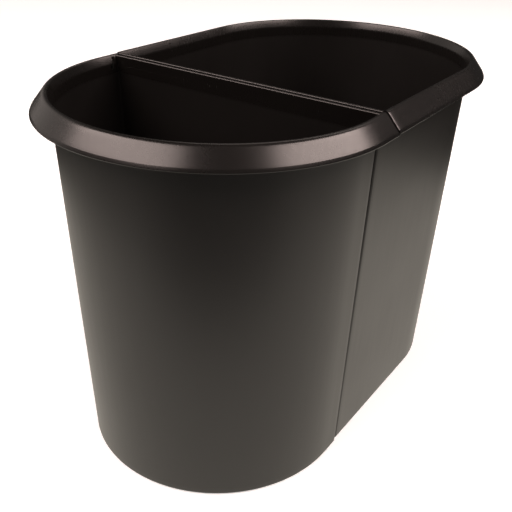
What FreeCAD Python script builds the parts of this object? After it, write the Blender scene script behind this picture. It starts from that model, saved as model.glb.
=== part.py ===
import FreeCAD, Part
import math
import os

# Double recycling bin: two open half-stadium bins that stand flat wall to flat
# wall.  Millimetres, +Z up, origin at the middle of the footprint on the floor.
# X runs along the length (small bin on -X, large bin on +X), Y across it.

# ---------------------------------------------------------------- dimensions
HEIGHT = 318.5            # floor to the crest of the large bin's rim
SMALL_DROP = 0.8          # the small bin's rim stands this much lower
R_TOP = 132.0             # plan radius at the inner top edge of the rim
CENTRE_X = 85.5           # centre of each round end, from the middle
SPLIT_X = -65.6           # plane midway between the two flat walls
GAP = 1.5                 # air gap between the two flat walls
FLAT_T = 2.75             # thickness of a flat wall
WALL_T = 2.0              # thickness of the side and round walls
R_BASE_SMALL = 118.9      # plan radius of the outside at the floor, small bin
R_BASE_LARGE = 117.6      # the same, large bin
WALL_IN = 2.2             # outer wall face inside R_TOP, at the rim's crease
CREASE_Z = 12.5           # depth of the rim's crease below the crest
CREASE_OUT = 11.8         # overhang of the crease beyond R_TOP
RIM_Z = 15.5              # depth of the rim's lower edge below the crest
RIM_OUT = 13.4            # overhang of the lower edge beyond R_TOP
SHOULDER = 2.0            # where the sloping skirt's line meets the crest
SHOULDER_R = 3.6          # radius from the crest into the skirt
SKIRT_T = 2.2             # thickness of the sloping skirt
CREST_T = 2.4             # thickness under the crest
FLARE_Z = 7.0             # depth where the inside starts to flare to the crest
FLARE_IN = 1.2            # crest's inner edge inside R_TOP
FLARE_T = 2.3             # thickness of the flared part
FLOOR_TOP = 4.2           # inside floor above the ground
RECESS = 1.5              # height of the recess under the floor
FOOT_W = 9.0              # width of the foot ring
BASE_R = 2.5              # outside radius at the foot
FLOOR_R = 4.0             # inside radius at the floor
CORNER_R = 2.6            # outside radius of the upright corners
INNER_CORNER_R = 2.0      # inside radius of the upright corners
DIVIDER_LOW = 0.4         # flat wall's top edge below the crest
LIP_R = 1.0               # radius along the flat wall's top edge
EAR_END = SPLIT_X + 1.9   # end of the small bin's rim at the crest, past the gap
END_LEAN = 0.14           # the rims' meeting faces lean this much per mm of depth
RIM_GAP = 0.75            # joint between the two rims
EAR_IN = -1.0             # inner limit of the small rim where it laps the gap
# coupling hidden under the rim ends
BAR_X0 = -77.2            # free end of the large bin's tongue
BAR_R = (0.2, 5.2)        # tongue, across the pocket
BAR_Z = (14.6, 10.6)      # tongue, depth below the crest
LUG_X1 = -74.7            # the upturned lug runs from BAR_X0 to here
LUG_TOP = 6.8             # lug's top below the crest
WEB_X = (-74.0, -72.0)    # small bin's web that drops behind the lug
WEB_Z = 9.0               # web's lower edge below the crest
SLOT_X = (-77.4, -74.4)   # slot through the small bin's side wall
SLOT_Z = (12.6, 6.4)      # slot, depth below the crest


def rounded(points, radii, place):
    """Closed wire through 2-D points with the given corner radii."""
    n = len(points)
    pre, post, mids = [], [], []
    for i in range(n):
        ax, az = points[i - 1]
        px, pz = points[i]
        bx, bz = points[(i + 1) % n]
        ux, uz = ax - px, az - pz
        vx, vz = bx - px, bz - pz
        lu, lv = math.hypot(ux, uz), math.hypot(vx, vz)
        ux, uz, vx, vz = ux / lu, uz / lu, vx / lv, vz / lv
        r = radii[i]
        if r <= 0:
            pre.append((px, pz))
            post.append((px, pz))
            mids.append(None)
            continue
        half = math.acos(max(-1.0, min(1.0, ux * vx + uz * vz))) / 2.0
        t = r / math.tan(half)
        wx, wz = ux + vx, uz + vz
        lw = math.hypot(wx, wz)
        wx, wz = wx / lw, wz / lw
        c = r / math.sin(half)
        pre.append((px + ux * t, pz + uz * t))
        post.append((px + vx * t, pz + vz * t))
        mids.append((px + wx * (c - r), pz + wz * (c - r)))
    edges = []
    for i in range(n):
        if mids[i] is not None:
            edges.append(Part.Arc(place(*pre[i]), place(*mids[i]), place(*post[i])).toShape())
        a, b = place(*post[i]), place(*pre[(i + 1) % n])
        if a.distanceToPoint(b) > 1e-6:
            edges.append(Part.LineSegment(a, b).toShape())
    return Part.Wire(edges)


def cross(p, d, q, e):
    """Crossing point of line p + t d with line q + s e."""
    det = d[0] * -e[1] + e[0] * d[1]
    t = ((q[0] - p[0]) * -e[1] + e[0] * (q[1] - p[1])) / det
    return (p[0] + d[0] * t, p[1] + d[1] * t)


class Bin:
    """Shared geometry of one bin.  side is -1 for the small bin, +1 for the large."""

    def __init__(self, side, top, r_base):
        self.side = side
        self.top = top
        self.r_base = r_base
        self.xc = side * CENTRE_X
        self.flat_out = SPLIT_X + side * GAP / 2.0
        self.flat_in = self.flat_out + side * FLAT_T
        self.r_crease = R_TOP - WALL_IN
        self.slope = (self.r_crease - r_base) / (top - CREASE_Z)

    def wall(self, z):
        """Outer wall radius at height z."""
        return self.r_base + self.slope * z

    def wall_in(self, z):
        return self.wall(z) - WALL_T * math.hypot(1.0, self.slope)

    def section(self):
        """Closed section of floor, wall and rim, as (radius, z) points and radii."""
        top = self.top
        skirt_a = (R_TOP + SHOULDER, top)
        skirt_b = (R_TOP + CREASE_OUT, top - CREASE_Z)
        lip_b = (R_TOP + RIM_OUT, top - RIM_Z)
        sd = (skirt_b[0] - skirt_a[0], skirt_b[1] - skirt_a[1])
        sl = math.hypot(*sd)
        sn = (-sd[1] / sl, sd[0] / sl)
        under = (skirt_a[0] - sn[0] * SKIRT_T, skirt_a[1] - sn[1] * SKIRT_T)
        low_in = cross(under, sd, (0.0, lip_b[1]), (1.0, 0.0))
        flare = (-R_TOP + FLARE_IN + self.wall_in(top - FLARE_Z), -FLARE_Z)
        fl = math.hypot(*flare)
        back = (R_TOP - FLARE_IN - flare[1] / fl * FLARE_T, top + flare[0] / fl * FLARE_T)
        root = cross(under, sd, back, flare)
        root_low = cross(back, flare, (self.wall(top), top), (self.slope, 1.0))
        foot = self.r_base - FOOT_W
        pts = [
            ((0.0, RECESS), 0),
            ((0.0, FLOOR_TOP), 0),
            ((self.wall_in(FLOOR_TOP), FLOOR_TOP), FLOOR_R),
            ((self.wall_in(top - FLARE_Z), top - FLARE_Z), 5.0),
            ((R_TOP - FLARE_IN, top), 1.1),
            (skirt_a, SHOULDER_R),
            (skirt_b, 0.6),
            (lip_b, 0.7),
            (low_in, 0.6),
            (root, 1.2),
            (root_low, 4.0),
            ((self.r_base, 0.0), BASE_R),
            ((foot, 0.0), 0.4),
            ((foot - RECESS * 0.4, RECESS), 0),
        ]
        return [p for p, _ in pts], [r for _, r in pts]

    def shell(self, x_end):
        """Section swept round the end and along both sides to x_end."""
        pts, radii = self.section()
        face = Part.Face(rounded(pts, radii, lambda r, z: FreeCAD.Vector(self.xc, r, z)))
        turn = face.revolve(
            FreeCAD.Vector(self.xc, 0, 0), FreeCAD.Vector(0, 0, -self.side), 180
        )
        run = face.extrude(FreeCAD.Vector(x_end - self.xc, 0, 0))
        other = run.mirror(FreeCAD.Vector(0, 0, 0), FreeCAD.Vector(0, 1, 0))
        return turn.fuse([run, other]).removeSplitter()

    def flat(self, top_half_width):
        """The flat wall, with a rounded top edge, cut to the bin's outline."""
        z1 = self.top - DIVIDER_LOW
        a, b = sorted((self.flat_out, self.flat_in))
        wide = R_TOP + 20.0
        wire = rounded(
            [(a, 0.0), (b, 0.0), (b, z1), (a, z1)],
            [0, 0, LIP_R, LIP_R],
            lambda x, z: FreeCAD.Vector(x, -wide, z),
        )
        plate = Part.Face(wire).extrude(FreeCAD.Vector(0, 2 * wide, 0))
        zt = self.top
        knee = self.top - CREST_T - 3.0
        right = [
            (self.r_base - BASE_R * 0.3, 0.0),
            (self.r_base, BASE_R * 0.9),
            (self.wall(knee), knee),
            (top_half_width, zt - CREST_T + 0.4),
            (top_half_width, zt),
        ]
        outline = [FreeCAD.Vector(a - 1, y, z) for y, z in right]
        outline += [FreeCAD.Vector(a - 1, -y, z) for y, z in reversed(right)]
        cut = Part.Face(Part.makePolygon(outline + [outline[0]])).extrude(
            FreeCAD.Vector(b - a + 2, 0, 0)
        )
        foot_bar = Part.makeBox(
            FOOT_W,
            2 * (self.r_base - 4),
            FLOOR_TOP - 0.6,
            FreeCAD.Vector(min(self.flat_out, self.flat_out + self.side * FOOT_W), -(self.r_base - 4), 0),
        )
        fillet = self.corner_prism(
            FreeCAD.Vector(self.flat_in, -(self.r_base - 8), FLOOR_TOP),
            FreeCAD.Vector(self.side, 0, 0),
            FreeCAD.Vector(0, 0, 1),
            FreeCAD.Vector(0, 1, 0),
            2 * (self.r_base - 8),
            FLOOR_R,
        )
        return plate.common(cut).fuse([foot_bar, fillet])

    @staticmethod
    def corner_prism(corner, u, v, along, length, r, back=0.0):
        """Square corner less a quarter round, drawn along a line."""
        p0 = corner - u * back - v * back
        arc = Part.Arc(
            corner + u * r,
            corner + (u + v) * (r - r / math.sqrt(2.0)),
            corner + v * r,
        ).toShape()
        edges = [arc]
        chain = [corner + v * r]
        if back > 0:
            chain += [corner + v * r - u * back, p0, corner + u * r - v * back]
        else:
            chain += [corner]
        chain += [corner + u * r]
        for s, e in zip(chain, chain[1:]):
            edges.append(Part.LineSegment(s, e).toShape())
        return Part.Face(Part.Wire(edges)).extrude(along * length)

    def upright_corners(self, inside):
        """Tools for the two upright corners, along the drafted side walls."""
        tools = []
        tilt = math.atan(self.slope)
        for ys in (1.0, -1.0):
            along = FreeCAD.Vector(0, ys * math.sin(tilt), math.cos(tilt))
            inward = FreeCAD.Vector(0, -ys * math.cos(tilt), math.sin(tilt))
            if inside:
                z0 = FLOOR_TOP - 0.5
                corner = FreeCAD.Vector(self.flat_in, ys * self.wall_in(z0), z0)
                length = self.top - FLARE_Z - 1.4 - z0
                tools.append(
                    self.corner_prism(
                        corner, FreeCAD.Vector(self.side, 0, 0), inward, along, length, INNER_CORNER_R
                    )
                )
            else:
                z0 = -2.0
                corner = FreeCAD.Vector(self.flat_out, ys * self.wall(z0), z0)
                length = self.top - RIM_Z + 7.0 - z0
                tools.append(
                    self.corner_prism(
                        corner,
                        FreeCAD.Vector(self.side, 0, 0),
                        inward,
                        along,
                        length,
                        CORNER_R,
                        back=0.8,
                    )
                )
        return tools


def prism(points, top, x0, x1, mirror, lean=0.0):
    """Prism with a (overhang, depth) section between two x positions."""
    ys = -1.0 if mirror else 1.0
    ring = [FreeCAD.Vector(x0 + lean * d, ys * (R_TOP + r), top - d) for r, d in points]
    return Part.Face(Part.makePolygon(ring + [ring[0]])).extrude(FreeCAD.Vector(x1 - x0, 0, 0))


def box(x0, x1, y0, y1, z0, z1):
    return Part.makeBox(x1 - x0, y1 - y0, z1 - z0, FreeCAD.Vector(x0, y0, z0))


def leaning(top, x0, x1, y0, y1, far):
    """Block under the crest between y0 and y1; its x1 face (or x0 face) leans with the rim ends."""
    d0, d1 = -1.0, 30.0
    if far:
        ring = [(x0 + END_LEAN * d0, d0), (x1 + 10, d0), (x1 + 10, d1), (x0 + END_LEAN * d1, d1)]
    else:
        ring = [(x0, d0), (x1 + END_LEAN * d0, d0), (x1 + END_LEAN * d1, d1), (x0, d1)]
    pts = [FreeCAD.Vector(x, y0, top - d) for x, d in ring]
    return Part.Face(Part.makePolygon(pts + [pts[0]])).extrude(FreeCAD.Vector(0, y1 - y0, 0))


def small_bin():
    b = Bin(-1, HEIGHT - SMALL_DROP, R_BASE_SMALL)
    body = b.shell(EAR_END + 8.0)
    # past the flat wall only the lapping ears of the rim are left
    lap = R_TOP + EAR_IN
    body = body.cut(box(b.flat_out, EAR_END + 9, -lap, lap, -1, b.top + 1))
    body = body.cut(leaning(b.top, EAR_END, EAR_END, -R_TOP - 30, R_TOP + 30, True))
    body = body.fuse([b.flat(R_TOP - 0.6)] + b.upright_corners(True))
    body = body.cut(b.upright_corners(False))
    webs = [
        prism([(-3.0, 1.4), (1.3, 1.4), (7.6, WEB_Z), (-3.2, WEB_Z)], b.top, WEB_X[0], WEB_X[1], m)
        for m in (False, True)
    ]
    body = body.fuse(webs)
    slots = [
        box(SLOT_X[0], SLOT_X[1], y0, y0 + 9.0, b.top - SLOT_Z[0], b.top - SLOT_Z[1])
        for y0 in (R_TOP - 9.0, -R_TOP)
    ]
    return body.cut(slots)


def large_bin():
    b = Bin(1, HEIGHT, R_BASE_LARGE)
    rim_start = EAR_END + RIM_GAP
    body = b.shell(b.flat_out)
    # nothing stands outside the wall where the other rim laps over
    clear = R_TOP - 1.4
    for y0, y1 in ((clear, R_TOP + 30), (-R_TOP - 30, -clear)):
        body = body.cut(leaning(b.top, b.flat_out - 1, rim_start, y0, y1, False))
    body = body.fuse([b.flat(R_TOP - 1.45)] + b.upright_corners(True))
    body = body.cut(b.upright_corners(False))
    extra = []
    for m in (False, True):
        extra.append(
            prism(
                [(-3.0, 1.2), (1.3, 1.2), (10.0, 12.8), (11.6, 15.1), (-3.3, 15.1)],
                b.top,
                rim_start,
                rim_start + 2.2,
                m,
                END_LEAN,
            )
        )
        extra.append(
            prism(
                [(BAR_R[0], BAR_Z[1]), (BAR_R[1], BAR_Z[1]), (BAR_R[1], BAR_Z[0]), (BAR_R[0], BAR_Z[0])],
                b.top,
                BAR_X0,
                rim_start + 4.0,
                m,
            )
        )
        extra.append(
            prism(
                [(BAR_R[0], BAR_Z[1] + 0.5), (BAR_R[1], BAR_Z[1] + 0.5), (BAR_R[1], BAR_Z[1]), (2.6, LUG_TOP), (BAR_R[0], LUG_TOP)],
                b.top,
                BAR_X0,
                LUG_X1,
                m,
            )
        )
    return body.fuse(extra)


def finish(shape):
    shape = shape.removeSplitter()
    solids = shape.Solids
    if len(solids) != 1 or not shape.isValid():
        raise RuntimeError("expected one valid solid, got %d" % len(solids))
    return solids[0]


os.makedirs("parts", exist_ok=True)
for name, make in (("small_bin", small_bin), ("large_bin", large_bin)):
    solid = finish(make())
    solid.exportStep("parts/%s.step" % name)
    bb = solid.BoundBox
    print(
        name,
        "solid faces %d volume %.1f cm3" % (len(solid.Faces), solid.Volume / 1000.0),
        "x %.2f..%.2f y %.2f..%.2f z %.2f..%.2f" % (bb.XMin, bb.XMax, bb.YMin, bb.YMax, bb.ZMin, bb.ZMax),
    )
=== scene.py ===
import math

import bmesh
import bpy
from mathutils import Matrix, Vector


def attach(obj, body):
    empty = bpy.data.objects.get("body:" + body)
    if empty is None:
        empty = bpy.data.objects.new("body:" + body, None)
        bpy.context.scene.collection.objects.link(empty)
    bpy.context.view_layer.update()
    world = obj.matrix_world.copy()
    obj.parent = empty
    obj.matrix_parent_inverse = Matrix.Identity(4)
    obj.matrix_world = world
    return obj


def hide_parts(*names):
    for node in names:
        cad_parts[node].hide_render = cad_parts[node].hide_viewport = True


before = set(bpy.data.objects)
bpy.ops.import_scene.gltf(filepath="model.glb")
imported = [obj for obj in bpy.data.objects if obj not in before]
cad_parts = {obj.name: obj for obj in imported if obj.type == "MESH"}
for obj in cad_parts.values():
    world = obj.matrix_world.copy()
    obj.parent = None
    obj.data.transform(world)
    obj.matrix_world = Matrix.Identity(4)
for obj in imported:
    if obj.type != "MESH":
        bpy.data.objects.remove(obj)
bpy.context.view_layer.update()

# ------------------------------------------------------------------ sizes (mm)
HEIGHT = 318.5
SMALL_DROP = 0.8
R_TOP = 132.0
CENTRE_X = 85.5
SPLIT_X = -65.6
GAP = 1.5
FLAT_T = 2.75
WALL_T = 2.0
R_BASE = {-1: 118.9, 1: 117.6}
WALL_IN = 2.2
CREASE_Z, CREASE_OUT = 12.5, 11.8
RIM_Z, RIM_OUT = 15.5, 13.4
SHOULDER, SHOULDER_R = 2.0, 3.6
SKIRT_T, CREST_T = 2.2, 2.4
FLARE_Z, FLARE_IN, FLARE_T = 7.0, 1.2, 2.3
FLOOR_TOP, RECESS, FOOT_W = 4.2, 1.5, 9.0
BASE_R, FLOOR_R = 2.5, 4.0
CORNER_R, INNER_CORNER_R = 2.6, 2.0
DIVIDER_LOW = 0.4
LIP_R = 1.0
EAR_END = SPLIT_X + 1.9
END_LEAN = 0.14
EASE_SMALL = (2.8, 0.6)
EASE_LARGE = (8.0, 0.45)
RIM_GAP = 0.45
EAR_IN = -1.0
BAR_X0, LUG_X1 = -77.2, -74.7
BAR_R, BAR_Z, LUG_TOP = (0.2, 5.2), (14.6, 10.6), 6.8
WEB_X, WEB_Z = (-74.0, -72.0), 9.0
SLOT_X, SLOT_Z = (-77.4, -74.4), (12.6, 6.4)
MM = 0.001


# ------------------------------------------------------------------ 2-D helpers
def rounded(points, radii, step=14.0):
    """Closed outline through points, with rounded corners; step is degrees per segment."""
    out = []
    n = len(points)
    for i in range(n):
        ax, az = points[i - 1]
        px, pz = points[i]
        bx, bz = points[(i + 1) % n]
        r = radii[i]
        if r <= 0:
            out.append((px, pz))
            continue
        ux, uz, vx, vz = ax - px, az - pz, bx - px, bz - pz
        lu, lv = math.hypot(ux, uz), math.hypot(vx, vz)
        ux, uz, vx, vz = ux / lu, uz / lu, vx / lv, vz / lv
        half = math.acos(max(-1.0, min(1.0, ux * vx + uz * vz))) / 2.0
        t = r / math.tan(half)
        wx, wz = ux + vx, uz + vz
        lw = math.hypot(wx, wz)
        c = (px + wx / lw * r / math.sin(half), pz + wz / lw * r / math.sin(half))
        a0 = math.atan2(pz + uz * t - c[1], px + ux * t - c[0])
        a1 = math.atan2(pz + vz * t - c[1], px + vx * t - c[0])
        d = (a1 - a0 + math.pi) % (2 * math.pi) - math.pi
        k = max(2, int(round(abs(math.degrees(d)) / step)))
        for j in range(k + 1):
            a = a0 + d * j / k
            out.append((c[0] + r * math.cos(a), c[1] + r * math.sin(a)))
    return out


def subdivide(points, longest):
    out = []
    n = len(points)
    for i in range(n):
        a, b = points[i], points[(i + 1) % n]
        k = max(1, int(math.ceil(math.hypot(b[0] - a[0], b[1] - a[1]) / longest)))
        out += [(a[0] + (b[0] - a[0]) * j / k, a[1] + (b[1] - a[1]) * j / k) for j in range(k)]
    return out


def inset(points, d, least=0.35):
    """Outline moved inward by d along its corner bisectors (counter-clockwise or clockwise alike)."""
    n = len(points)
    area = sum(points[i][0] * points[(i + 1) % n][1] - points[(i + 1) % n][0] * points[i][1] for i in range(n))
    s = 1.0 if area > 0 else -1.0
    out = []
    for i in range(n):
        ax, az = points[i - 1]
        px, pz = points[i]
        bx, bz = points[(i + 1) % n]
        e1 = (px - ax, pz - az)
        e2 = (bx - px, bz - pz)
        l1, l2 = math.hypot(*e1) or 1e-9, math.hypot(*e2) or 1e-9
        n1 = (-e1[1] / l1 * s, e1[0] / l1 * s)
        n2 = (-e2[1] / l2 * s, e2[0] / l2 * s)
        m = (n1[0] + n2[0], n1[1] + n2[1])
        lm = math.hypot(*m) or 1e-9
        m = (m[0] / lm, m[1] / lm)
        c = max(least, m[0] * n1[0] + m[1] * n1[1])
        out.append((px + m[0] * d / c, pz + m[1] * d / c))
    return out


def outward(points):
    """Unit outward direction at each corner of an outline."""
    return [(px - qx, pz - qz) for (px, pz), (qx, qz) in zip(points, inset(points, 1.0, 1.0))]


def cross(p, d, q, e):
    det = d[0] * -e[1] + e[0] * d[1]
    t = ((q[0] - p[0]) * -e[1] + e[0] * (q[1] - p[1])) / det
    return (p[0] + d[0] * t, p[1] + d[1] * t)


# ------------------------------------------------------------------ one bin
class Bin:
    def __init__(self, side):
        self.side = side
        self.top = HEIGHT - (SMALL_DROP if side < 0 else 0.0)
        self.base = R_BASE[side]
        self.xc = side * CENTRE_X
        self.flat_out = SPLIT_X + side * GAP / 2.0
        self.flat_in = self.flat_out + side * FLAT_T
        self.slope = (R_TOP - WALL_IN - self.base) / (self.top - CREASE_Z)
        self.thick = WALL_T * math.hypot(1.0, self.slope)
        self.n_arc = 112
        self.n_run = 5 if side < 0 else 34
        self.n_cor = 6
        self.n_flat = 40

    def wall(self, z):
        return self.base + self.slope * z

    def loop(self, w, flat_x, corner):
        """Plan outline, anticlockwise or clockwise by side, as (x, y, kind)."""
        s, pts = self.side, []
        corner = max(corner, 0.05)
        x_run = flat_x + s * corner
        for i in range(self.n_run):
            pts.append((self.xc + (x_run - self.xc) * i / self.n_run, w, "run"))
        for i in range(self.n_cor + 1):
            a = math.pi / 2 * i / self.n_cor
            pts.append((x_run - s * corner * math.sin(a), w - corner + corner * math.cos(a), "corner" if i < self.n_cor else "flat"))
        y0 = w - corner
        for i in range(1, self.n_flat):
            pts.append((flat_x, y0 - 2 * y0 * i / self.n_flat, "flat"))
        for i in range(self.n_cor + 1):
            a = math.pi / 2 * i / self.n_cor
            pts.append((x_run - s * corner * math.cos(a), -w + corner - corner * math.sin(a), "corner" if i > 0 else "flat"))
        for i in range(1, self.n_run + 1):
            pts.append((x_run + (self.xc - x_run) * i / self.n_run, -w, "run"))
        for i in range(1, self.n_arc):
            a = math.pi * i / self.n_arc
            pts.append((self.xc + s * w * math.sin(a), -w * math.cos(a), "arc"))
        return pts

    def vessel(self, bm):
        """Walls, flat wall, floor and foot as one closed skin, up to just under the crest."""
        top = self.top
        z_cap = top - 8.4
        s = self.side
        levels = []  # (width, flat x, corner radius, z)

        def add(w, fx, cr, z):
            levels.append((w, fx, cr, z))

        add(self.base - FOOT_W - 0.6, self.flat_out + s * (FOOT_W + 0.6), 1.0, RECESS)
        add(self.base - FOOT_W, self.flat_out + s * FOOT_W, 1.0, 0.3)
        add(self.base - FOOT_W + 0.3, self.flat_out + s * (FOOT_W - 0.3), 1.2, 0.0)
        for i in range(7):
            a = math.pi / 2 * i / 6
            d = BASE_R * (1 - math.sin(a))
            z = BASE_R * (1 - math.cos(a))
            add(self.wall(z) - d, self.flat_out + s * d * 0.4, CORNER_R, z)
        zs = [8.0, 20.0] + [20 + (top - 40) * i / 14 for i in range(1, 15)] + [top - 12.0, z_cap - 0.4]
        for z in zs:
            add(self.wall(z), self.flat_out, CORNER_R, z)
        add(self.wall(z_cap) - 0.4, self.flat_out + s * 0.4, CORNER_R, z_cap)
        add(self.wall(z_cap) - self.thick + 0.4, self.flat_in - s * 0.4, INNER_CORNER_R, z_cap)
        for z in reversed(zs[1:]):
            add(self.wall(z) - self.thick, self.flat_in, INNER_CORNER_R, z)
        for i in range(6):
            a = math.pi / 2 * i / 5
            z = FLOOR_TOP + FLOOR_R * (1 - math.sin(a))
            d = FLOOR_R * (1 - math.cos(a))
            add(self.wall(z) - self.thick - d, self.flat_in + s * d, max(INNER_CORNER_R - d, 0.3), z)
        rings = []
        for w, fx, cr, z in levels:
            rings.append([bm.verts.new((x, y, z)) for x, y, kind in self.loop(w, fx, cr)])
        n = len(rings[0])
        for a, b in zip(rings, rings[1:]):
            for i in range(n):
                j = (i + 1) % n
                bm.faces.new((a[i], a[j], b[j], b[i]))
        bm.faces.new(list(reversed(rings[0])))
        bm.faces.new(rings[-1])

    def rim_section(self, full=True):
        """Section of the rim as (radius, z), closed inside the wall."""
        top = self.top
        a = (R_TOP + SHOULDER, top)
        b = (R_TOP + CREASE_OUT, top - CREASE_Z)
        c = (R_TOP + RIM_OUT, top - RIM_Z)
        sd = (b[0] - a[0], b[1] - a[1])
        sl = math.hypot(*sd)
        sn = (-sd[1] / sl, sd[0] / sl)
        under = (a[0] - sn[0] * SKIRT_T, a[1] - sn[1] * SKIRT_T)
        knee = (self.wall(top - FLARE_Z) - self.thick, top - FLARE_Z)
        flare = (knee[0] - R_TOP + FLARE_IN, -FLARE_Z)
        fl = math.hypot(*flare)
        back = (R_TOP - FLARE_IN - flare[1] / fl * FLARE_T, top + flare[0] / fl * FLARE_T)
        pts = [
            ((self.wall(top - 10.2) - self.thick + 0.35, top - 10.2), 0),
            ((self.wall(top - 8.82) - self.thick + 0.004, top - 8.82), 0),
            ((knee[0] + 0.004, knee[1]), 5.0),
            ((R_TOP - FLARE_IN, top), 1.1),
            (a, SHOULDER_R),
            (b, 0.6),
            (c, 0.7),
            (cross(under, sd, (0.0, c[1]), (1.0, 0.0)), 0.6),
            (cross(under, sd, back, flare), 1.2),
            (cross(back, flare, (self.wall(top) - 0.03, top), (self.slope, 1.0)), 4.0),
            ((self.wall(top - 10.2) - 0.15, top - 10.2), 0),
        ]
        return subdivide(rounded([p for p, _ in pts], [r for _, r in pts]), 3.4)

    def skin(self, p):
        """1 on the skirt's outer face and the crest, 0 on the inside of the rim."""
        r, z = p
        d = self.top - z
        if d < CREASE_Z:
            line = R_TOP + SHOULDER + (CREASE_OUT - SHOULDER) * d / CREASE_Z
        else:
            line = R_TOP + CREASE_OUT + (RIM_OUT - CREASE_OUT) * (d - CREASE_Z) / (RIM_Z - CREASE_Z)
        return max(0.0, min(1.0, (r - (line - SKIRT_T * 0.6)) / (SKIRT_T * 0.5)))

    def rim(self, bm, x_end, joint, ease, edge=0.0):
        """Rim swept round the end and along both sides.

        The end faces lean with depth.  ease = (length, drop): the outer skin sinks by
        drop over that length toward the joint; edge rounds the end faces themselves.
        """
        sec = self.rim_section()
        out = outward(sec)
        skin = [self.skin(p) for p in sec]
        length, drop = ease
        side = self.side
        rows = []  # (x at the crest, edge cut, share of the lean)
        if edge > 0:
            for i in range(4):
                a = math.pi / 2 * i / 4
                rows.append((x_end - side * edge * math.cos(a), edge * (1 - math.sin(a)), 1.0))
            near, k = [length * (i / 10) ** 1.6 for i in range(11)], 4
            rows += [(x_end + side * d, 0.0, 1.0 - (i / 10) ** 2) for i, d in enumerate(near)]
        else:
            rows.append((x_end, 0.0, 0.0))
            near, k = [(length + 3.3) * (i / 12) ** 1.5 for i in range(13)], 32
            rows += [(joint + side * d, 0.0, 0.0) for d in near]
        x1 = rows[-1][0]
        rows += [(x1 + (self.xc - x1) * i / k, 0.0, 0.0) for i in range(1, k)]
        side_rows = []
        for x, cut, share in rows:
            row = []
            for (r, z), n, w in zip(inset(sec, cut) if cut > 0 else sec, out, skin):
                depth = self.top - z
                px = x + END_LEAN * share * depth
                t = max(0.0, min(1.0, side * (px - joint - END_LEAN * depth) / length))
                sink = w * drop * (1 - math.sqrt(1 - (1 - t) ** 2))
                row.append((px, r - n[0] * sink, z - n[1] * sink))
            side_rows.append(row)
        rings = [[bm.verts.new(p) for p in row] for row in side_rows]
        for i in range(self.n_arc + 1):
            a = math.pi * i / self.n_arc
            rings.append([bm.verts.new((self.xc + self.side * math.sin(a) * r, math.cos(a) * r, z)) for r, z in sec])
        rings += [[bm.verts.new((x, -r, z)) for x, r, z in row] for row in reversed(side_rows)]
        n = len(sec)
        for a, b in zip(rings, rings[1:]):
            for i in range(n):
                j = (i + 1) % n
                bm.faces.new((a[i], a[j], b[j], b[i]))
        bm.faces.new(list(reversed(rings[0])))
        bm.faces.new(rings[-1])


def prism(bm, points, top, x0, x1, sign, edge=0.0, lean=0.0):
    """Prism with an (overhang, depth) section between two x positions, its edges eased."""
    sec = [(R_TOP + r, top - d) for r, d in points]
    if edge > 0:
        sec = rounded(sec, [edge] * len(sec), 30.0)
    rows = [(x0, sec), (x1, sec)]
    if edge > 0:
        rows = [(x0, inset(sec, edge)), (x0 + edge * 0.3, inset(sec, edge * 0.3)), (x0 + edge, sec)]
        rows += [(x1 - edge, sec), (x1 - edge * 0.3, inset(sec, edge * 0.3)), (x1, inset(sec, edge))]
    rings = [[bm.verts.new((x + lean * (top - z), sign * r, z)) for r, z in pts] for x, pts in rows]
    n = len(sec)
    for a, b in zip(rings, rings[1:]):
        for i in range(n):
            j = (i + 1) % n
            bm.faces.new((a[i], a[j], b[j], b[i]))
    bm.faces.new(list(reversed(rings[0])))
    bm.faces.new(rings[-1])


def lip(bm, b, reach):
    """Top edge of the flat wall, rounded, drawn out at both ends to meet the rim."""
    x0, x1 = sorted((b.flat_out + b.side * 0.004, b.flat_in - b.side * 0.004))
    z1 = b.top - DIVIDER_LOW
    knee = b.top - CREST_T - 3.0
    r = LIP_R
    left = [(x0, b.top - 13.5), (x0, b.top - 9.4), (x0, knee), (x0, b.top - 3.7), (x0, b.top - CREST_T + 0.4)]
    left += [(x0 + r * (1 - math.cos(math.pi / 2 * i / 6)), z1 - r + r * math.sin(math.pi / 2 * i / 6)) for i in range(7)]
    right = [(x0 + x1 - x, z) for x, z in reversed(left)]
    prof = left + right
    k = len(left)

    def half(z):
        if z <= knee:
            return b.wall(z) - 0.35
        if z >= b.top - CREST_T + 0.4:
            return reach
        t = (z - knee) / (b.top - CREST_T + 0.4 - knee)
        return (b.wall(knee) - 0.35) * (1 - t) + reach * t

    m = 44
    rows = []
    for j in range(m + 1):
        t = -1 + 2 * j / m
        rows.append([bm.verts.new((x, half(z) * t, z)) for x, z in prof])
    n = len(prof)
    for a, c in zip(rows, rows[1:]):
        for i in range(n):
            j = (i + 1) % n
            bm.faces.new((a[i], a[j], c[j], c[i]))
    for row, flip in ((rows[0], True), (rows[-1], False)):
        for i in range(k - 1):
            quad = (row[i], row[i + 1], row[n - 2 - i], row[n - 1 - i])
            bm.faces.new(tuple(reversed(quad)) if flip else quad)


def block(bm, x0, x1, y0, y1, z0, z1, lean=0.0):
    """Box; with lean its x1 face leans outward as it goes down from the crest."""
    v = [
        bm.verts.new((x + (lean * (z1 - 5.0 - z) if x == x1 else 0.0), y, z))
        for x in (x0, x1)
        for y in (y0, y1)
        for z in (z0, z1)
    ]
    for f in ((0, 1, 3, 2), (4, 6, 7, 5), (0, 4, 5, 1), (2, 3, 7, 6), (0, 2, 6, 4), (1, 5, 7, 3)):
        bm.faces.new([v[i] for i in f])


def to_object(bm, name):
    bmesh.ops.recalc_face_normals(bm, faces=bm.faces)
    if bm.calc_volume(signed=True) < 0:
        bmesh.ops.reverse_faces(bm, faces=bm.faces)
    me = bpy.data.meshes.new(name)
    bm.to_mesh(me)
    bm.free()
    ob = bpy.data.objects.new(name, me)
    bpy.context.collection.objects.link(ob)
    return ob


def solid(name, fill):
    bm = bmesh.new()
    fill(bm)
    return to_object(bm, name)


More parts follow.
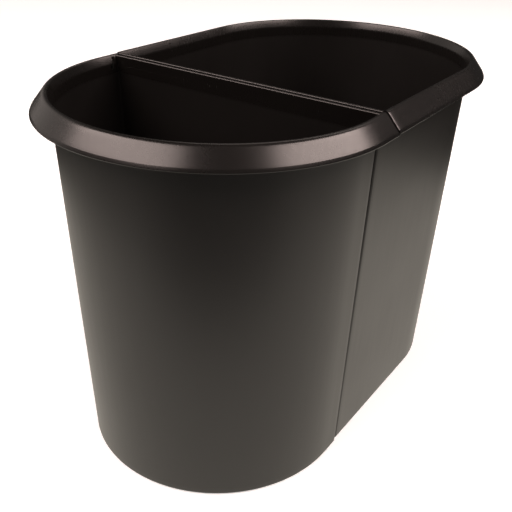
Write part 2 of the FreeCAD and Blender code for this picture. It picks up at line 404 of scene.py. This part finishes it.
def combine(target, tools, operation):
    """Boolean of the target with each tool in turn; the tools are removed."""
    for t in tools:
        mod = target.modifiers.new("b", "BOOLEAN")
        mod.operation = operation
        mod.solver = "MANIFOLD"
        mod.object = t
        dg = bpy.context.evaluated_depsgraph_get()
        me = bpy.data.meshes.new_from_object(target.evaluated_get(dg))
        target.modifiers.clear()
        old = target.data
        target.data = me
        me.name = target.name
        bpy.data.meshes.remove(old)
        bpy.data.objects.remove(t)
    return target


def tidy(ob, angle=36.0):
    """Welds slivers, scales to metres and marks the hard edges."""
    bm = bmesh.new()
    bm.from_mesh(ob.data)
    bmesh.ops.remove_doubles(bm, verts=bm.verts, dist=0.006)
    bmesh.ops.dissolve_degenerate(bm, edges=bm.edges, dist=0.003)
    bmesh.ops.delete(bm, geom=[v for v in bm.verts if not v.link_faces], context="VERTS")
    bmesh.ops.recalc_face_normals(bm, faces=bm.faces)
    bmesh.ops.scale(bm, vec=(MM * 0.9998, MM * 0.9998, MM), verts=bm.verts)
    bm.to_mesh(ob.data)
    bm.free()
    for p in ob.data.polygons:
        p.use_smooth = True
    ob.data.set_sharp_from_angle(angle=math.radians(angle))


def make_small():
    b = Bin(-1)
    lap = R_TOP + EAR_IN
    rim = solid("rim", lambda bm: b.rim(bm, EAR_END - 0.22, EAR_END - 0.22, EASE_SMALL, 0.22))
    combine(rim, [solid("cut", lambda bm: block(bm, b.flat_out - 0.003, EAR_END + 12, -lap, lap, b.top - 40, b.top + 5))], "DIFFERENCE")
    body = solid("small_bin_shell", b.vessel)
    tools = [rim, solid("lip", lambda bm: lip(bm, b, R_TOP - 0.6))]
    for sign in (1, -1):
        tools.append(solid("web", lambda bm: prism(bm, [(-3.0, 1.4), (1.3, 1.4), (7.6, WEB_Z), (-3.2, WEB_Z)], b.top, WEB_X[0], WEB_X[1], sign)))
    combine(body, tools, "UNION")
    cuts = []
    for sign in (1, -1):
        cuts.append(solid("slot", lambda bm: prism(bm, [(-9.0, SLOT_Z[1]), (0.0, SLOT_Z[1]), (0.0, SLOT_Z[0]), (-9.0, SLOT_Z[0])], b.top, SLOT_X[0], SLOT_X[1], sign)))
    combine(body, cuts, "DIFFERENCE")
    tidy(body)
    return body


def make_large():
    b = Bin(1)
    start = EAR_END + RIM_GAP
    clear = R_TOP - 1.4
    rim = solid("rim", lambda bm: b.rim(bm, b.flat_out + 0.003, start, EASE_LARGE))
    cuts = [
        solid("cut", lambda bm: block(bm, b.flat_out - 3, start, y0, y1, b.top - 40, b.top + 5, END_LEAN))
        for y0, y1 in ((clear, R_TOP + 30), (-R_TOP - 30, -clear))
    ]
    combine(rim, cuts, "DIFFERENCE")
    body = solid("large_bin_shell", b.vessel)
    tools = [rim, solid("lip", lambda bm: lip(bm, b, R_TOP - 1.45))]
    for sign in (1, -1):
        tools.append(
            solid("web", lambda bm: prism(bm, [(-3.0, 1.2), (1.3, 1.2), (10.0, 12.8), (11.6, 15.1), (-3.3, 15.1)], b.top, start + 0.01, start + 2.2, sign, 0.0, END_LEAN))
        )
        tools.append(
            solid("bar", lambda bm: prism(bm, [(BAR_R[0], BAR_Z[1]), (BAR_R[1], BAR_Z[1]), (BAR_R[1], BAR_Z[0]), (BAR_R[0], BAR_Z[0])], b.top, BAR_X0, start + 4.0, sign, 0.4))
        )
        tools.append(
            solid("lug", lambda bm: prism(bm, [(BAR_R[0] + 0.01, BAR_Z[1] + 1.5), (BAR_R[1] - 0.05, BAR_Z[1] + 1.5), (BAR_R[1] - 0.05, BAR_Z[1]), (2.6, LUG_TOP), (BAR_R[0] + 0.01, LUG_TOP)], b.top, BAR_X0 + 0.01, LUG_X1, sign, 0.3))
        )
    combine(body, tools, "UNION")
    tidy(body)
    return body


small = make_small()
large = make_large()
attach(small, "small_bin")
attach(large, "large_bin")
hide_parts("small_bin")
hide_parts("large_bin")
for o in (small, large):
    bm = bmesh.new()
    bm.from_mesh(o.data)
    bad = sum(1 for e in bm.edges if not e.is_manifold)
    print("MESH", o.name, "verts", len(bm.verts), "faces", len(bm.faces), "non-manifold edges", bad, "volume cm3", round(bm.calc_volume() * 1e6, 1))
    bm.free()


# ------------------------------------------------------------------ materials
def node(nt, kind, **values):
    n = nt.nodes.new(kind)
    for k, v in values.items():
        if k in n.inputs:
            n.inputs[k].default_value = v
        else:
            setattr(n, k, v)
    return n


def plastic(name, seed):
    """Satin black moulded plastic: fine grain on the walls, smoother and glossier on the rim."""
    m = bpy.data.materials.new(name)
    m.use_nodes = True
    nt = m.node_tree
    nt.nodes.clear()
    L = nt.links.new
    out = node(nt, "ShaderNodeOutputMaterial")
    bsdf = node(nt, "ShaderNodeBsdfPrincipled")
    bsdf.inputs["IOR"].default_value = 1.5
    L(bsdf.outputs[0], out.inputs["Surface"])
    tc = node(nt, "ShaderNodeTexCoord")
    sep = node(nt, "ShaderNodeSeparateXYZ")
    L(tc.outputs["Object"], sep.inputs[0])

    # rim mask: 0 on the walls, 1 on the rim
    rim = node(nt, "ShaderNodeMapRange", interpolation_type="SMOOTHSTEP")
    rim.inputs["From Min"].default_value = 0.3005
    rim.inputs["From Max"].default_value = 0.3032
    L(sep.outputs["Z"], rim.inputs["Value"])

    # slow cloudiness of the moulded skin
    big = node(nt, "ShaderNodeTexNoise", Scale=9.0, Detail=3.0, Roughness=0.5)
    big.noise_dimensions = "4D"
    big.inputs["W"].default_value = seed
    L(tc.outputs["Object"], big.inputs["Vector"])
    # faint upright draw marks
    mp = node(nt, "ShaderNodeMapping")
    mp.inputs["Scale"].default_value = (260.0, 260.0, 7.0)
    L(tc.outputs["Object"], mp.inputs["Vector"])
    draw = node(nt, "ShaderNodeTexNoise", Scale=1.0, Detail=2.0, Roughness=0.6)
    draw.noise_dimensions = "4D"
    draw.inputs["W"].default_value = seed + 3.0
    L(mp.outputs[0], draw.inputs["Vector"])
    # fine grain
    grain = node(nt, "ShaderNodeTexNoise", Scale=1500.0, Detail=2.0, Roughness=0.65)
    L(tc.outputs["Object"], grain.inputs["Vector"])
    pit = node(nt, "ShaderNodeTexVoronoi", Scale=900.0)
    L(tc.outputs["Object"], pit.inputs["Vector"])

    # colour: warm near-black, a little cloudy, paler where handled
    ramp = node(nt, "ShaderNodeValToRGB")
    ramp.color_ramp.elements[0].position = 0.3
    ramp.color_ramp.elements[0].color = (0.0050, 0.0045, 0.0041, 1)
    ramp.color_ramp.elements[1].position = 0.72
    ramp.color_ramp.elements[1].color = (0.0074, 0.0066, 0.0060, 1)
    L(big.outputs["Fac"], ramp.inputs["Fac"])
    geo = node(nt, "ShaderNodeNewGeometry")
    worn = node(nt, "ShaderNodeMapRange")
    worn.inputs["From Min"].default_value = 0.53
    worn.inputs["From Max"].default_value = 0.62
    L(geo.outputs["Pointiness"], worn.inputs["Value"])
    wn = node(nt, "ShaderNodeTexNoise", Scale=60.0, Detail=4.0, Roughness=0.7)
    L(tc.outputs["Object"], wn.inputs["Vector"])
    wr = node(nt, "ShaderNodeMapRange")
    wr.inputs["From Min"].default_value = 0.42
    wr.inputs["From Max"].default_value = 0.68
    L(wn.outputs["Fac"], wr.inputs["Value"])
    wm = node(nt, "ShaderNodeMath", operation="MULTIPLY")
    L(worn.outputs[0], wm.inputs[0])
    L(wr.outputs[0], wm.inputs[1])
    wm2 = node(nt, "ShaderNodeMath", operation="MULTIPLY")
    wm2.inputs[1].default_value = 0.55
    L(wm.outputs[0], wm2.inputs[0])
    mix = node(nt, "ShaderNodeMix", data_type="RGBA")
    mix.inputs["B"].default_value = (0.026, 0.024, 0.022, 1)
    L(wm2.outputs[0], mix.inputs["Factor"])
    L(ramp.outputs["Color"], mix.inputs["A"])
    L(mix.outputs["Result"], bsdf.inputs["Base Color"])

    # roughness: satin walls, glossier rim, cloudy and streaky
    r0 = node(nt, "ShaderNodeMapRange")
    r0.inputs["From Min"].default_value = 0.25
    r0.inputs["From Max"].default_value = 0.75
    r0.inputs["To Min"].default_value = -0.03
    r0.inputs["To Max"].default_value = 0.03
    L(big.outputs["Fac"], r0.inputs["Value"])
    r1 = node(nt, "ShaderNodeMapRange")
    r1.inputs["From Min"].default_value = 0.25
    r1.inputs["From Max"].default_value = 0.75
    r1.inputs["To Min"].default_value = -0.014
    r1.inputs["To Max"].default_value = 0.014
    L(draw.outputs["Fac"], r1.inputs["Value"])
    rb = node(nt, "ShaderNodeMapRange")
    rb.inputs["To Min"].default_value = 0.40
    rb.inputs["To Max"].default_value = 0.27
    L(rim.outputs[0], rb.inputs["Value"])
    a1 = node(nt, "ShaderNodeMath", operation="ADD")
    a2 = node(nt, "ShaderNodeMath", operation="ADD")
    L(rb.outputs[0], a1.inputs[0])
    L(r0.outputs[0], a1.inputs[1])
    L(a1.outputs[0], a2.inputs[0])
    L(r1.outputs[0], a2.inputs[1])
    L(a2.outputs[0], bsdf.inputs["Roughness"])

    # relief
    h1 = node(nt, "ShaderNodeMath", operation="MULTIPLY_ADD")
    h1.inputs[1].default_value = 0.6
    L(grain.outputs["Fac"], h1.inputs[0])
    L(pit.outputs["Distance"], h1.inputs[2])
    bs = node(nt, "ShaderNodeMapRange")
    bs.inputs["To Min"].default_value = 0.10
    bs.inputs["To Max"].default_value = 0.007
    L(rim.outputs[0], bs.inputs["Value"])
    b1 = node(nt, "ShaderNodeBump", Distance=0.0001)
    L(bs.outputs[0], b1.inputs["Strength"])
    L(h1.outputs[0], b1.inputs["Height"])
    bw = node(nt, "ShaderNodeMapRange")
    bw.inputs["To Min"].default_value = 0.10
    bw.inputs["To Max"].default_value = 0.04
    L(rim.outputs[0], bw.inputs["Value"])
    b2 = node(nt, "ShaderNodeBump", Distance=0.0012)
    L(bw.outputs[0], b2.inputs["Strength"])
    L(big.outputs["Fac"], b2.inputs["Height"])
    L(b1.outputs[0], b2.inputs["Normal"])
    L(b2.outputs[0], bsdf.inputs["Normal"])
    return m


for o, nm, sd in ((small, "small_bin_plastic_look", 1.0), (large, "large_bin_plastic_look", 5.0)):
    o.data.materials.clear()
    o.data.materials.append(plastic(nm, sd))

# ------------------------------------------------------------------ stage
def plain(name, colour, rough, lift):
    m = bpy.data.materials.new(name)
    m.use_nodes = True
    nt = m.node_tree
    bsdf = nt.nodes["Principled BSDF"]
    bsdf.inputs["Roughness"].default_value = rough
    bsdf.inputs["Specular IOR Level"].default_value = 0.0
    bsdf.inputs["Base Color"].default_value = (*colour, 1)
    bsdf.inputs["Emission Color"].default_value = (1.0, 0.995, 0.985, 1)
    bsdf.inputs["Emission Strength"].default_value = lift
    return m


def disc(name, radius, z, material):
    bm = bmesh.new()
    bmesh.ops.create_circle(bm, cap_ends=True, segments=96, radius=radius)
    me = bpy.data.meshes.new(name)
    bm.to_mesh(me)
    bm.free()
    ob = bpy.data.objects.new(name, me)
    bpy.context.collection.objects.link(ob)
    ob.location = (0, 0, z)
    ob.data.materials.append(material)
    return ob


floor = disc("floor", 7.0, -0.0004, plain("floor_pale", (0.86, 0.865, 0.87), 0.9, 0.5))
floor.visible_glossy = False

# painted reflection: a card that glows but is seen only in the bins' reflections, standing in for a lit table top of
# limited size, paler than the room round it
glow = bpy.data.materials.new("painted_table_reflection")
glow.use_nodes = True
gt = glow.node_tree
gt.nodes.clear()
g_out = node(gt, "ShaderNodeOutputMaterial")
g_em = node(gt, "ShaderNodeEmission", Color=(1.0, 0.915, 0.80, 1))
g_tc = node(gt, "ShaderNodeTexCoord")
g_len = node(gt, "ShaderNodeVectorMath", operation="LENGTH")
gt.links.new(g_tc.outputs["Object"], g_len.inputs[0])
# painted reflection falloff: the glow dies away beyond about 0.56-0.72 m from the bins
g_far = node(gt, "ShaderNodeMapRange", interpolation_type="SMOOTHSTEP")
g_far.inputs["From Min"].default_value = 0.56
g_far.inputs["From Max"].default_value = 0.72
g_far.inputs["To Min"].default_value = 1.09
g_far.inputs["To Max"].default_value = 0.03
gt.links.new(g_len.outputs["Value"], g_far.inputs["Value"])
# painted reflection falloff: the glow dies away on the camera side, as if the floor in front lay in shade
g_dot = node(gt, "ShaderNodeVectorMath", operation="DOT_PRODUCT")
g_dot.inputs[1].default_value = (-0.8387, -0.5446, 0.0)
gt.links.new(g_tc.outputs["Object"], g_dot.inputs[0])
g_front = node(gt, "ShaderNodeMapRange", interpolation_type="SMOOTHSTEP")
g_front.inputs["From Min"].default_value = 0.41
g_front.inputs["From Max"].default_value = 0.48
g_front.inputs["To Min"].default_value = 1.09
g_front.inputs["To Max"].default_value = 0.03
gt.links.new(g_dot.outputs["Value"], g_front.inputs["Value"])
g_min = node(gt, "ShaderNodeMath", operation="MINIMUM")
gt.links.new(g_far.outputs[0], g_min.inputs[0])
gt.links.new(g_front.outputs[0], g_min.inputs[1])
gt.links.new(g_min.outputs[0], g_em.inputs["Strength"])
gt.links.new(g_em.outputs[0], g_out.inputs["Surface"])
# the painted reflection card: hidden from camera, diffuse, shadow and transmission rays, so it shows only in glossy
# reflections
card = disc("painted_reflection_card", 7.0, -0.0002, glow)
card.visible_camera = False
card.visible_diffuse = False
card.visible_shadow = False
card.visible_transmission = False

# ------------------------------------------------------------------ camera
CAM = Vector((-0.525930, -0.342024, 0.473792))
RIGHT = Vector((0.561368, -0.826909, 0.032974)).normalized()
FWD = Vector((0.736602, 0.481106, -0.475347)).normalized()
UP = RIGHT.cross(FWD).normalized()
RIGHT = FWD.cross(UP).normalized()
cam_data = bpy.data.cameras.new("camera")
cam = bpy.data.objects.new("camera", cam_data)
bpy.context.collection.objects.link(cam)
cam.matrix_world = Matrix(
    (
        (RIGHT.x, UP.x, -FWD.x, CAM.x),
        (RIGHT.y, UP.y, -FWD.y, CAM.y),
        (RIGHT.z, UP.z, -FWD.z, CAM.z),
        (0, 0, 0, 1),
    )
)
cam_data.sensor_width = 36.0
cam_data.lens = 721.0 * 36.0 / 512.0
cam_data.shift_x = -16.793 / 512.0
cam_data.shift_y = -6.66 / 512.0
cam_data.clip_start = 0.01
cam_data.clip_end = 100.0
bpy.context.scene.camera = cam


# ------------------------------------------------------------------ light
def softbox(name, azimuth, elevation, width, height, roll, radiance, colour, distance=3.0):
    """Area light that fills width x height degrees as seen from the bins, turned by roll degrees."""
    a, e = math.radians(azimuth), math.radians(elevation)
    d = Vector((math.sin(a) * math.cos(e), -math.cos(a) * math.cos(e), math.sin(e)))
    ld = bpy.data.lights.new(name, "AREA")
    ld.shape = "RECTANGLE"
    ld.size = 2 * distance * math.tan(math.radians(width / 2))
    ld.size_y = 2 * distance * math.tan(math.radians(height / 2))
    ld.energy = radiance * math.pi * ld.size * ld.size_y
    ld.color = colour
    ob = bpy.data.objects.new(name, ld)
    bpy.context.collection.objects.link(ob)
    across = Vector((math.cos(a), math.sin(a), 0.0))
    upward = d.cross(across)
    if upward.z < 0:
        upward.negate()
    r = math.radians(roll)
    u = across * math.cos(r) + upward * math.sin(r)
    v = d.cross(u)
    at = Vector((0, 0, 0.25)) + d * distance
    ob.matrix_world = Matrix(((u.x, v.x, d.x, at.x), (u.y, v.y, d.y, at.y), (u.z, v.z, d.z, at.z), (0, 0, 0, 1)))
    return ob


WARM = (1.0, 0.81, 0.75)
softbox("softbox_left", 236, 45, 55, 26, 8, 7.5, WARM)
softbox("softbox_right", 23.5, 42.8, 52, 20, -19, 9.7, WARM)
softbox("back_light", 108, 44, 44, 14, 0, 1.3, (1.0, 0.86, 0.78))

world = bpy.data.worlds.new("studio")
bpy.context.scene.world = world
world.use_nodes = True
wt = world.node_tree
wt.nodes.clear()
wo = node(wt, "ShaderNodeOutputWorld")
dim = node(wt, "ShaderNodeBackground")
pale = node(wt, "ShaderNodeBackground", Color=(0.93, 0.93, 0.92, 1))
wtc = node(wt, "ShaderNodeTexCoord")
dot = node(wt, "ShaderNodeVectorMath", operation="DOT_PRODUCT")
dot.inputs[1].default_value = (-0.035, 0.990, 0.139)
wt.links.new(wtc.outputs["Generated"], dot.inputs[0])
wr = node(wt, "ShaderNodeMapRange", interpolation_type="SMOOTHSTEP")
wr.inputs["From Min"].default_value = 0.74
wr.inputs["From Max"].default_value = 0.97
wt.links.new(dot.outputs["Value"], wr.inputs["Value"])
wmix = node(wt, "ShaderNodeMix", data_type="RGBA")
wmix.inputs["A"].default_value = (0.035, 0.034, 0.033, 1)
wmix.inputs["B"].default_value = (0.56, 0.49, 0.45, 1)
wt.links.new(wr.outputs[0], wmix.inputs["Factor"])
wt.links.new(wmix.outputs["Result"], dim.inputs["Color"])
wlp = node(wt, "ShaderNodeLightPath")
wms = node(wt, "ShaderNodeMixShader")
wt.links.new(wlp.outputs["Is Camera Ray"], wms.inputs[0])
wt.links.new(dim.outputs[0], wms.inputs[1])
wt.links.new(pale.outputs[0], wms.inputs[2])
wt.links.new(wms.outputs[0], wo.inputs["Surface"])

vs = bpy.context.scene.view_settings
vs.view_transform = "Standard"
vs.look = "None"
vs.exposure = 0.0
vs.gamma = 1.0
